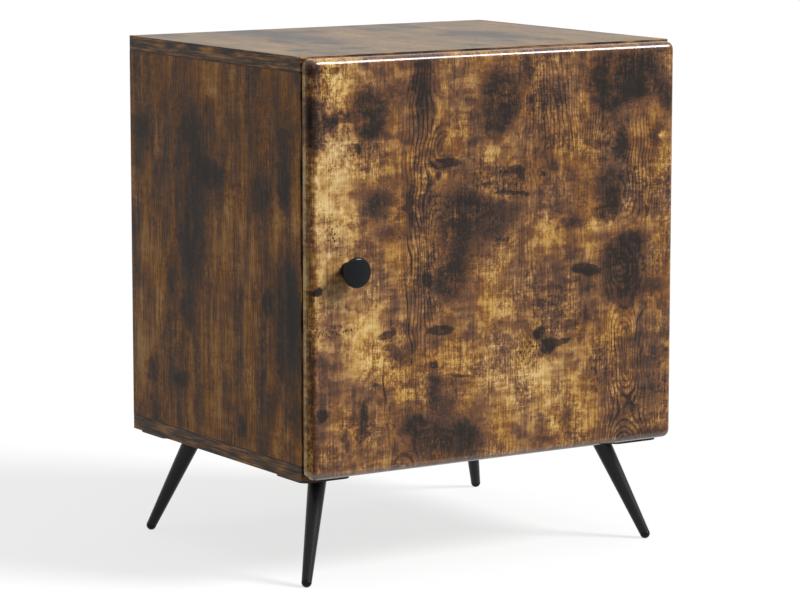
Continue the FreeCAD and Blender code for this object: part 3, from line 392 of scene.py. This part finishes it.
def rustic_print(name, finish, cracks, knots):
    """Printed rustic oak: gold, brown and charcoal stains on a fine grain, with rings, pits and cracks; on a
    sealed board the folded edge gets a painted highlight.
    """
    material, tree = new_material(name)
    # Millimetres on the board's face
    sheet = add(tree, "ShaderNodeUVMap", uv_map="print")
    face = add(tree, "ShaderNodeVectorMath", {0: sheet, 1: (1 / MM, 1 / MM, 0)}, operation="MULTIPLY")
    layers = noise_layers(tree, face, 1, finish["layers"])
    for layer, edge in FLAKES.items():
        layers[layer] = add(tree, "ShaderNodeMapRange", {"Value": layers[layer], **edge})
    fields = {}
    for field in FIELDS:
        fields[field] = add(tree, "ShaderNodeAttribute", attribute_name=field).node.outputs["Fac"]

    def mixed(start, shares):
        """Adds layers to a tone, each by its share about its own middle."""
        total = start
        for layer, share in shares.items():
            level = add(tree, "ShaderNodeMath", {0: layers[layer], 1: NOISE_MIDDLE}, operation="SUBTRACT")
            total = add(tree, "ShaderNodeMath", {0: level, 1: share, 2: total}, operation="MULTIPLY_ADD")
        return total

    # Stains have edges that the grain and the brush make ragged, and a brown haze round them
    stain = add(tree, "ShaderNodeMapRange", {
        "Value": mixed(fields["stain"], STAIN_SHARES), **STAIN_EDGE}, interpolation_type="SMOOTHSTEP")
    spot = add(tree, "ShaderNodeMapRange", {
        "Value": mixed(fields["spot"], SPOT_SHARES), **SPOT_EDGE}, interpolation_type="SMOOTHSTEP")
    tone = add(tree, "ShaderNodeMath", {
        0: fields["glow"], 1: finish["glow"], 2: finish["tone"]}, operation="MULTIPLY_ADD")
    tone = mixed(tone, finish["shares"])
    # The fine texture comes and goes over the board
    calm = add(tree, "ShaderNodeTexNoise", {
        "Vector": face, "Scale": 1 / CALM_SIZE, "Detail": 3.0}, noise_dimensions="2D")
    calm = add(tree, "ShaderNodeMapRange", {"Value": calm, **CALM_RANGE})
    tone = add(tree, "ShaderNodeMath", {
        0: mixed(0.0, finish["fine"]), 1: calm, 2: tone}, operation="MULTIPLY_ADD")
    for share, weight in ((fields["stain"], HAZE_WEIGHT), (stain, STAIN_WEIGHT), (spot, SPOT_WEIGHT)):
        tone = add(tree, "ShaderNodeMath", {0: share, 1: weight, 2: tone}, operation="MULTIPLY_ADD")
    # Growth rings: fine dark lines that sway and close round the knots
    wander = add(tree, "ShaderNodeTexNoise", {
        "Vector": face, "Scale": 1 / WANDER_SIZE, "Detail": 1.0}, noise_dimensions="2D")
    wander = add(tree, "ShaderNodeMath", {
        0: layers["sway"], 1: SWAY_SHARE, 2: wander}, operation="MULTIPLY_ADD")
    wander = add(tree, "ShaderNodeMath", {0: wander, 1: WANDER_MIDDLE}, operation="SUBTRACT")
    wander = add(tree, "ShaderNodeVectorMath", {
        0: wander, 1: (WANDER_REACH, 0, 0), 2: face}, operation="MULTIPLY_ADD")
    run = add(tree, "ShaderNodeSeparateXYZ", {"Vector": wander}).node.outputs["X"]
    for rings, up, half_width, half_height, push in knots:
        run = add(tree, "ShaderNodeGroup", {
            "Place": wander, "Middle": (rings * RING_SPACING, up, 0),
            "Reach": (half_width, half_height, THROUGH), "Push": push, "Run": run}, node_tree=KNOT)
    phase = add(tree, "ShaderNodeMath", {0: run, 1: 2 * math.pi / RING_SPACING}, operation="MULTIPLY")
    ring = add(tree, "ShaderNodeMath", {0: phase}, operation="COSINE")
    ring = add(tree, "ShaderNodeMapRange", {
        "Value": ring, "From Min": 0.0, "From Max": 1.0}, interpolation_type="SMOOTHSTEP")
    ring = add(tree, "ShaderNodeMath", {0: ring, 1: fields["ring"]}, operation="MULTIPLY")
    tone = add(tree, "ShaderNodeMath", {0: ring, 1: RING_WEIGHT, 2: tone}, operation="MULTIPLY_ADD")
    # Pits, and cracks that wander with the rings
    pit = add(tree, "ShaderNodeMapRange", {"Value": layers["pit"], **PIT_EDGE})
    pit = add(tree, "ShaderNodeMath", {0: pit, 1: fields["pit"]}, operation="MULTIPLY")
    tone = add(tree, "ShaderNodeMath", {0: pit, 1: PIT_WEIGHT, 2: tone}, operation="MULTIPLY_ADD")
    for middle, up, half_width, half_height, angle, weight in cracks:
        tone = add(tree, "ShaderNodeGroup", {
            "Place": wander, "Middle": (middle, up, 0), "Reach": (half_width, half_height, THROUGH),
            "Turn": math.radians(-angle), "Weight": -weight, "Tone": tone}, node_tree=CRACK)
    coat = {}
    if finish["sealed"]:
        # Where the sheet is folded back at its outer edge it is lightened as a painted highlight, and keeps
        # its seal coat
        fold = add(tree, "ShaderNodeSeparateXYZ", {"Vector": face}).node.outputs["X"]
        fold = add(tree, "ShaderNodeMapRange", {"Value": fold, **FOLD_EDGE})
        tone = add(tree, "ShaderNodeMath", {0: fold, 1: FOLD_PAINTED_HIGHLIGHT, 2: tone}, operation="MULTIPLY_ADD")
        seal = add(tree, "ShaderNodeMath", {0: fold, 1: SEAL, 2: fields["seal"]}, operation="MULTIPLY_ADD")
        coat = {"Coat Weight": seal, **SEAL_COAT}
    tone = add(tree, "ShaderNodeMapRange", {"Value": tone, **TONE_RANGE})
    colour = add(tree, "ShaderNodeValToRGB", {"Fac": tone}, stops=finish["colours"])
    lively = add(tree, "ShaderNodeMapRange", {"Value": layers["cloud"], **LIVELY_RANGE})
    colour = add(tree, "ShaderNodeHueSaturation", {"Saturation": lively, "Color": colour})
    height = add(tree, "ShaderNodeMath", {0: layers["fibre"], 1: pit}, operation="SUBTRACT")
    bump = add(tree, "ShaderNodeBump", {"Height": height, **PRINT_RELIEF})
    shine = add(tree, "ShaderNodeMapRange", {
        "Value": layers["fibre"], **FIBRE_RANGE,
        "To Min": finish["roughness"] - SMOOTHER, "To Max": finish["roughness"] + ROUGHER})
    shader = add(tree, "ShaderNodeBsdfPrincipled", {
        "Base Color": colour, "Roughness": shine, "Specular IOR Level": finish["specular"], "Normal": bump,
        **coat})
    add(tree, "ShaderNodeOutputMaterial", {"Surface": shader})
    return material


# Foil on the door: charcoal and brown stains on gold, nearly matt, with a clear coat that glints at edges,
# and painted highlights and shade at its left edge
door_print = rustic_print("foil_wrapped_board_printed_rustic_oak", DOOR_FINISH, DOOR_CRACKS, DOOR_KNOTS)
# Melamine on the sides: redder brown, with long soft streaks up the grain and a satin sheen
side_print = rustic_print("melamine_board_printed_rustic_oak", BOARD_FINISH, SIDE_CRACKS, SIDE_KNOTS)
# Melamine on the top: a calmer print, its colours greyed and turned olive as a painted reflection, and a
# little glossier
top_print_with_painted_reflection = rustic_print("melamine_board_printed_oak_with_painted_reflection", TOP_PRINT_WITH_PAINTED_REFLECTION, (), ())
# Melamine inside and behind: the streaks of the sides without rings and cracks
inner_print = rustic_print("melamine_board_printed_plain_oak", BOARD_FINISH, (), ())

# Printed edge tape

# Noise layers: size along and across the tape in mm, octaves, roughness
TAPE_LAYERS = {"streak": (36, 2.2, 4.0, 0.62), "patch": (44, 9, 3.0, 0.5)}
# From the dark seam to gold, as places on the tone and colours
TAPE_COLOURS = ((0.0, "#17110D"), (0.35, "#523B28"), (0.65, "#845C35"), (1.0, "#BC8A4E"))
# Share of the streaks against the patches, and the tones that take the darkest and the lightest colour
STREAK_SHARE = 1.5
TAPE_TONES = {"From Min": 0.98, "From Max": 1.56}
# The glue line: how far it reaches to each side of the seam, and how far it darkens the tone
SEAM_REACH = 1.0 * MM
SEAM_WEIGHT = -0.8
TAPE_RELIEF = {"Strength": 0.15, "Distance": 0.1 * MM}
TAPE_GLOSS = {"Roughness": 0.42, "Specular IOR Level": 0.15}


def tape_print(name, upright, seam):
    """Printed edge tape: dark brown with streaks along each edge, and a dark glue line at its seam."""
    material, tree = new_material(name)
    spot = add(tree, "ShaderNodeTexCoord").node.outputs["Object"]
    parts = add(tree, "ShaderNodeSeparateXYZ", {"Vector": spot}).node.outputs
    level = add(tree, "ShaderNodeMath", {0: parts["X"], 1: parts["Y"]}, operation="ADD")
    along, across = (parts["Z"], level) if upright else (level, parts["Z"])
    face = add(tree, "ShaderNodeCombineXYZ", {"X": along, "Y": across})
    layers = noise_layers(tree, face, MM, TAPE_LAYERS)
    tone = add(tree, "ShaderNodeMath", {
        0: layers["streak"], 1: STREAK_SHARE, 2: layers["patch"]}, operation="MULTIPLY_ADD")
    tone = add(tree, "ShaderNodeMapRange", {"Value": tone, **TAPE_TONES})
    near = add(tree, "ShaderNodeMath", {0: parts["Z"], 1: seam, 2: SEAM_REACH}, operation="COMPARE")
    tone = add(tree, "ShaderNodeMath", {0: near, 1: SEAM_WEIGHT, 2: tone}, operation="MULTIPLY_ADD")
    colour = add(tree, "ShaderNodeValToRGB", {"Fac": tone}, stops=TAPE_COLOURS)
    bump = add(tree, "ShaderNodeBump", {"Height": layers["streak"], **TAPE_RELIEF})
    shader = add(tree, "ShaderNodeBsdfPrincipled", {"Base Color": colour, "Normal": bump, **TAPE_GLOSS})
    add(tree, "ShaderNodeOutputMaterial", {"Surface": shader})
    return material


# Metals, plastics and dowel wood

# Where the grain takes its first and its second colour and sheen, and its height
GRAIN_RANGE = {"From Min": 0.3, "From Max": 0.7}
GRAIN_HEIGHT = 0.06 * MM


def grained(name, colours, grain_size, sheen, relief, sockets):
    """A surface whose colour, sheen and height vary by a grain of the given size in mm along each axis."""
    material, tree = new_material(name)
    spot = add(tree, "ShaderNodeTexCoord").node.outputs["Object"]
    scale = [1 / (size * MM) for size in grain_size]
    place = add(tree, "ShaderNodeVectorMath", {0: spot, 1: scale}, operation="MULTIPLY")
    grain = add(tree, "ShaderNodeTexNoise", {
        "Vector": place, "Scale": 1.0, "Detail": 4.0, "Roughness": 0.6})
    colour = add(tree, "ShaderNodeValToRGB", {"Fac": grain}, stops=zip(GRAIN_RANGE.values(), colours))
    rough = add(tree, "ShaderNodeMapRange", {
        "Value": grain, **GRAIN_RANGE, "To Min": sheen[0], "To Max": sheen[1]})
    bump = add(tree, "ShaderNodeBump", {"Height": grain, "Strength": relief, "Distance": GRAIN_HEIGHT})
    shader = add(tree, "ShaderNodeBsdfPrincipled", {
        "Base Color": colour, "Roughness": rough, "Normal": bump, **sockets})
    add(tree, "ShaderNodeOutputMaterial", {"Surface": shader})
    return material


BY_SLOT = {
    # Satin black with the orange-peel skin of baked powder, in waves of about a millimetre
    "black_steel": grained(
        "powder_coated_steel", ("#08090A", "#111213"), (0.9, 0.9, 0.9), (0.27, 0.38), 0.3,
        {"Specular IOR Level": 0.25}),
    # Deeper black with a slight gloss from the mould, a little uneven
    "foot_plastic": grained(
        "moulded_black_polypropylene", ("#050506", "#0B0B0C"), (2.5, 2.5, 2.5), (0.18, 0.28), 0.15,
        {"Specular IOR Level": 0.16}),
    # Smooth blue-black lacquer, dark on the face and bright along the turned rim
    "knob_black": grained(
        "lacquered_black_zinc_casting", ("#07090B", "#0D1013"), (3.0, 3.0, 3.0), (0.12, 0.2), 0.05,
        {"Specular IOR Level": 0.18}),
    # Bright plating with the strip's drawing lines, drawn five times as wide as real so that they show
    "hinge_steel": grained(
        "nickel_plated_pressed_steel", ("#A5A39B", "#C4C2BA"), (7.0, 7.0, 0.5), (0.22, 0.36), 0.15,
        {"Metallic": 1.0}),
    # Dull dark plating, its mottle drawn coarser than real so that it shows
    "black_screw": grained(
        "black_zinc_plated_steel", ("#141415", "#242425"), (0.8, 0.8, 0.8), (0.3, 0.45), 0.2,
        {"Metallic": 0.8}),
    # Pale pinkish wood with flecks along the grain, drawn twice as wide as real so that they show
    "dowel_wood": grained(
        "turned_beech", ("#B58A5C", "#D2AC7C"), (8.0, 1.2, 1.2), (0.5, 0.65), 0.3, {}),
    # Milky, soft-looking pads
    "bumper_clear": grained(
        "moulded_silicone", ("#C6C6BF", "#DADAD4"), (4.0, 4.0, 4.0), (0.4, 0.55), 0.1,
        {"Transmission Weight": 0.3}),
}

# Copies of the solids


def solid_copy(node):
    """A merged copy of a solid's mesh."""
    form = bmesh.new()
    form.from_mesh(frame["nodes"][node].data)
    bmesh.ops.remove_doubles(form, verts=form.verts, dist=MERGE)
    for face in form.faces:
        face.smooth = True
    return form


def finish_copy(form, name, node, materials):
    """Puts a copy in the place of its solid."""
    mesh = bpy.data.meshes.new(name)
    form.to_mesh(mesh)
    form.free()
    mesh.set_sharp_from_angle(angle=SMOOTH_ANGLE)
    for material in materials:
        mesh.materials.append(material)
    piece = bpy.data.objects.new(name, mesh)
    bpy.context.scene.collection.objects.link(piece)
    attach(piece, frame["nodes"][node]["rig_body"])
    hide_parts(node)
    weighted = piece.modifiers.new("weighted normals", "WEIGHTED_NORMAL")
    weighted.keep_sharp = True
    return piece


def joined_faces(start, joins):
    """The faces that can be reached from the first ones over edges that join."""
    reached = list(start)
    seen = set(start)
    for face in reached:
        near = [f for e in face.edges if joins(e) for f in e.link_faces if f not in seen]
        seen.update(near)
        reached.extend(dict.fromkeys(near))
    return reached


# Printed boards

# Size of the grid that carries the marks, and of a coarse one where there are none
DOOR_GRID = 2.5 * MM
SIDE_GRID = 3 * MM
TOP_GRID = 4 * MM
PLAIN_GRID = 50 * MM
# Cosine of the angle to a board's front, above which a face is part of that front
FRONT_TURN = 0.9999
# The same, above which the grid cuts a face, and above which a corner carries marks
GRID_TURN = -0.1
MARK_TURN = -0.5
# The same, below which a face is the board's back
BACK_TURN = -0.9
# Cosine of the angle to a board's sides, above which a face is an edge that the print wraps
WRAP_TURN = 0.5
# Each field of marks: how strong, and how far its marks are dragged
FIELD_GAINS = {
    "stain": (1.7, 0.8), "spot": (2.0, 0.2), "glow": (1.2, 0.7), "ring": (1.1, 0.5), "pit": (1.0, 0.3),
}
# How a mark fades out from its middle
FADE = 0.9
FADE_POWER = 1.3
# Strokes and patches that marks are dragged by, with sizes in mm, and how far they drag
STROKE_OCTAVES = 3
STROKE_LENGTH = 48
STROKE_WIDTH = 6
PATCH_SIZE = 34
STROKE_REACH = 7
PATCH_REACH = 9
# Where in the noise the strokes and the patches start
ACROSS_SEEDS = (1, 5)
ALONG_SEEDS = (9, 12)
# The seal coat thins where the door turns left, and gathers a little on its upper and much on its lower edge
SEAL_THINNING = 1.6
SEAL_UPPER = 0.6
SEAL_LOWER = 9


def spread(places, table):
    """Sums oval marks at each place: full in the middle of a mark, gone a little past its edge."""
    total = np.zeros(len(places))
    for middle, up, half_width, half_height, angle, weight in table:
        turn = math.radians(angle)
        right, rise = places[:, 0] - middle, places[:, 1] - up
        x = (right * math.cos(turn) + rise * math.sin(turn)) / half_width
        y = (rise * math.cos(turn) - right * math.sin(turn)) / half_height
        total += weight * np.exp(-FADE * (x * x + y * y) ** FADE_POWER)
    return total


def dragged(u, v, stroke_across, stroke_up, seeds):
    """How far a place is shifted one way, by strokes of a size across and up, and by round patches."""
    stroke = noise.fractal((u / stroke_across, v / stroke_up, seeds[0]), 1.0, 2.0, STROKE_OCTAVES)
    patch = noise.noise((u / PATCH_SIZE, v / PATCH_SIZE, seeds[1]))
    return STROKE_REACH * stroke + PATCH_REACH * patch


def brushed(places):
    """Shift of each place that makes a mark look dragged across and along the grain."""
    shifts = []
    for u, v in places:
        across = dragged(u, v, STROKE_LENGTH, STROKE_WIDTH, ACROSS_SEEDS)
        along = dragged(u, v, STROKE_WIDTH, STROKE_LENGTH, ALONG_SEEDS)
        shifts.append((across, along))
    return np.array(shifts)


def write_fields(mesh, corner, across, upward, marks):
    """Gives each corner of the mesh its share of the print's marks, and its weight of seal coat."""
    out = across.cross(upward)
    away = [v.co - corner for v in mesh.vertices]
    places = np.array([(a.dot(across) / MM, a.dot(upward) / MM) for a in away])
    depth = np.array([-a.dot(out) for a in away]) / MARK_DEPTH
    facing = np.array([v.normal.dot(out) for v in mesh.vertices])
    fade = np.clip(1 - depth, 0, 1) * (facing > MARK_TURN)
    drag = brushed(places)
    for field, (gain, share) in FIELD_GAINS.items():
        values = gain * fade * spread(places + share * drag, marks[field])
        mesh.attributes.new(field, "FLOAT", "POINT").data.foreach_set("value", values)
    tilt = np.array([v.normal.dot(upward) for v in mesh.vertices])
    turned = np.array([-v.normal.dot(across) for v in mesh.vertices])
    even = SEAL * np.clip(1 - SEAL_THINNING * turned, 0, 1)
    seal = even + np.maximum(SEAL_UPPER * tilt, -SEAL_LOWER * tilt)
    mesh.attributes.new("seal", "FLOAT", "POINT").data.foreach_set("value", np.clip(seal, 0, 1))


def lay_print(form, corner, across, upward):
    """Lays the printed sheet on a board: flat on its face, and wrapped round its edges."""
    out = across.cross(upward)
    sheet = form.loops.layers.uv.new("print")
    for face in form.faces:
        sideways, rise = face.normal.dot(across), face.normal.dot(upward)
        for loop in face.loops:
            away = loop.vert.co - corner
            depth = -away.dot(out)
            wrap = [math.copysign(depth, way) if abs(way) > WRAP_TURN else 0 for way in (sideways, rise)]
            loop[sheet].uv = (away.dot(across) + wrap[0], away.dot(upward) + wrap[1])


def printed_board(name, node, corner, across, upward, marks, grid, face_print):
    """A board with its printed face cut into a grid that carries the marks, and a plain print behind."""
    form = solid_copy(node)
    out = across.cross(upward)

    def front():
        level = [f for f in form.faces if f.normal.dot(out) > FRONT_TURN]
        return [f for f in level if abs((f.calc_center_median() - corner).dot(out)) < MM]

    def wraps(edge):
        smooth = edge.calc_face_angle(math.pi) < SMOOTH_ANGLE
        return smooth and min(f.normal.dot(out) for f in edge.link_faces) > GRID_TURN

    bmesh.ops.dissolve_faces(form, faces=front())
    sheet = joined_faces(front(), wraps)
    edges = dict.fromkeys(e for f in sheet for e in f.edges)
    corners = dict.fromkeys(v for f in sheet for v in f.verts)
    geometry = sheet + list(edges) + list(corners)
    for way in (across, upward):
        reach = max((v.co - corner).dot(way) for v in form.verts)
        for i in range(1, int(reach / grid) + 1):
            cut = bmesh.ops.bisect_plane(
                form, geom=geometry, dist=CUT_PLAY, plane_co=corner + way * grid * i, plane_no=way)
            geometry = cut["geom"]
    bmesh.ops.triangulate(form, faces=form.faces)
    for face in form.faces:
        face.material_index = int(face.normal.dot(out) < BACK_TURN)
    lay_print(form, corner, across, upward)
    piece = finish_copy(form, name, node, (face_print, inner_print))
    write_fields(piece.data, corner, across, upward, marks)


door_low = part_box("door_panel")[0]
left_low, left_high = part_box("left_side_panel")
right_low, right_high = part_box("right_side_panel")
base_low, base_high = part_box("bottom_panel")
top_low, top_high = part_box("top_panel")
back_low, back_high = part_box("back_panel")
left_corner = Vector((left_low.x, left_high.y, base_low.z))
right_corner = Vector((right_high.x, right_low.y, base_low.z))
top_corner = Vector((top_low.x, top_low.y, top_high.z))
base_corner = Vector((base_low.x, base_low.y, base_high.z))
back_corner = Vector((back_high.x, back_high.y, back_low.z))
printed_board("door_leaf", "door_panel", door_low, ALONG_X, UPWARD, DOOR_MARKS, DOOR_GRID, door_print)
printed_board(
    "left_side_board", "left_side_panel", left_corner, -ALONG_Y, UPWARD, SIDE_MARKS, SIDE_GRID, side_print)
printed_board(
    "right_side_board", "right_side_panel", right_corner, ALONG_Y, UPWARD, SIDE_MARKS, SIDE_GRID,
    side_print)
printed_board("top_board", "top_panel", top_corner, ALONG_X, ALONG_Y, SIDE_MARKS, TOP_GRID, top_print_with_painted_reflection)
printed_board(
    "bottom_board", "bottom_panel", base_corner, ALONG_X, ALONG_Y, NO_MARKS, PLAIN_GRID, inner_print)
printed_board("back_board", "back_panel", back_corner, -ALONG_X, UPWARD, NO_MARKS, PLAIN_GRID, inner_print)

# Edge tapes and plain copies


def part_strips(form):
    """Parts tape strips that meet along an edge, so that each keeps its own arrises."""
    strips = []
    done = set()
    for face in form.faces:
        if face not in done:
            strips.append(joined_faces([face], lambda edge: len(edge.link_faces) == 2))
            done.update(strips[-1])
    for strip in strips[1:]:
        bmesh.ops.split(form, geom=strip)


# Edge tape gives dark brown streaks along the boards, with a dark line where tape meets board
# The tapes of the side boards show no seam, so theirs is at the floor, below them
tapes = {
    "top_edge_bands": tape_print("abs_edge_tape_printed_oak_top", False, top_low.z),
    "bottom_edge_bands": tape_print("abs_edge_tape_printed_oak_bottom", False, base_high.z),
    "side_edge_bands": tape_print("abs_edge_tape_printed_oak_upright", True, 0.0),
}
for node, tape in tapes.items():
    form = solid_copy(node)
    part_strips(form)
    bmesh.ops.dissolve_limit(form, angle_limit=FLAT_ANGLE, verts=form.verts, edges=form.edges)
    arrises = [e for e in form.edges if e.calc_face_angle(0) > SMOOTH_ANGLE]
    bmesh.ops.bevel(
        form, geom=arrises, offset=BAND_ROUND, affect="EDGES", segments=2, profile=0.5, material=-1)
    finish_copy(form, "tape_" + node, node, (tape,))
for node, slot in slots.items():
    if slot in BY_SLOT:
        finish_copy(solid_copy(node), "fine_" + node, node, (BY_SLOT[slot],))

# Studio

# Camera: to the front left of the table, with a long lens, looking a little down
AZIMUTH = math.radians(32.8)
ELEVATION = math.radians(8.526)
DISTANCE = 3.694
LENS = 156.08
SENSOR = 36.0
AIM = Vector((0.0, 0.0205, 0.3))
AIM_RIGHT = 0.0035
AIM_UP = -0.045
# Floor and world: what lights the object, and what is seen
FLOOR_HALF = 9.0
FLOOR_TINT = {"To Min": 0.3, "To Max": 0.28}
FLOOR_VEIL = 0.74
WORLD_LIGHT = {"To Min": 0.2, "To Max": 1.0}
WHITE = hue("#FFFFFF")
# Lamps: the side they stand on, strength, and how wide they look in degrees
LAMPS = {"key": ((0.536, -0.6, 0.6), 3.5, 21), "overhead": ((0.0, -0.1, 1.0), 0.5, 60)}


def seen_directly(tree):
    """1 where the camera sees a surface directly, or in a reflection or through glass."""
    path = add(tree, "ShaderNodeLightPath").node.outputs
    seen = add(tree, "ShaderNodeMath", {
        0: path["Is Camera Ray"], 1: path["Is Glossy Ray"]}, operation="MAXIMUM")
    return add(tree, "ShaderNodeMath", {0: seen, 1: path["Is Transmission Ray"]}, operation="MAXIMUM")


def stage_floor():
    """A plain pale floor that keeps a soft shadow."""
    form = bmesh.new()
    bmesh.ops.create_grid(form, x_segments=1, y_segments=1, size=FLOOR_HALF)
    mesh = bpy.data.meshes.new("floor")
    form.to_mesh(mesh)
    form.free()
    # Matt paint, white where it is lit and pale grey in the shadow
    material, tree = new_material("pale_studio_floor")
    seen = seen_directly(tree)
    tint = add(tree, "ShaderNodeMapRange", {"Value": seen, **FLOOR_TINT})
    veil = add(tree, "ShaderNodeMath", {0: seen, 1: FLOOR_VEIL}, operation="MULTIPLY")
    shader = add(tree, "ShaderNodeBsdfPrincipled", {
        "Base Color": tint, "Roughness": 0.9, "Specular IOR Level": 0.0, "Emission Color": WHITE,
        "Emission Strength": veil})
    add(tree, "ShaderNodeOutputMaterial", {"Surface": shader})
    mesh.materials.append(material)
    floor = bpy.data.objects.new("floor", mesh)
    bpy.context.scene.collection.objects.link(floor)


def studio_world():
    """White all round where it is seen, and a weak even light on the object."""
    world = bpy.data.worlds.new("studio")
    bpy.context.scene.world = world
    world.use_nodes = True
    tree = world.node_tree
    tree.nodes.clear()
    strength = add(tree, "ShaderNodeMapRange", {"Value": seen_directly(tree), **WORLD_LIGHT})
    back = add(tree, "ShaderNodeBackground", {"Color": WHITE, "Strength": strength})
    add(tree, "ShaderNodeOutputWorld", {"Surface": back})


def studio_camera():
    """The camera, at the angle of the photograph."""
    level = math.cos(ELEVATION)
    view = Vector((math.sin(AZIMUTH) * level, math.cos(AZIMUTH) * level, -math.sin(ELEVATION)))
    right = Vector((math.cos(AZIMUTH), -math.sin(AZIMUTH), 0))
    aim = AIM + right * AIM_RIGHT + right.cross(view) * AIM_UP
    camera = bpy.data.cameras.new("camera")
    camera.lens = LENS
    camera.sensor_width = SENSOR
    stand = bpy.data.objects.new("camera", camera)
    stand.location = aim - view * DISTANCE
    stand.rotation_euler = view.to_track_quat("-Z", "Y").to_euler()
    bpy.context.scene.collection.objects.link(stand)
    bpy.context.scene.camera = stand


def soft_lamp(name, side, strength, width):
    """Soft even light from one side."""
    lamp = bpy.data.lights.new(name, "SUN")
    lamp.energy = strength
    lamp.angle = math.radians(width)
    stand = bpy.data.objects.new(name, lamp)
    stand.rotation_euler = (-Vector(side)).to_track_quat("-Z", "Y").to_euler()
    bpy.context.scene.collection.objects.link(stand)


stage_floor()
studio_world()
studio_camera()
for name, lamp in LAMPS.items():
    soft_lamp(name, *lamp)
bpy.context.scene.view_settings.view_transform = "Standard"
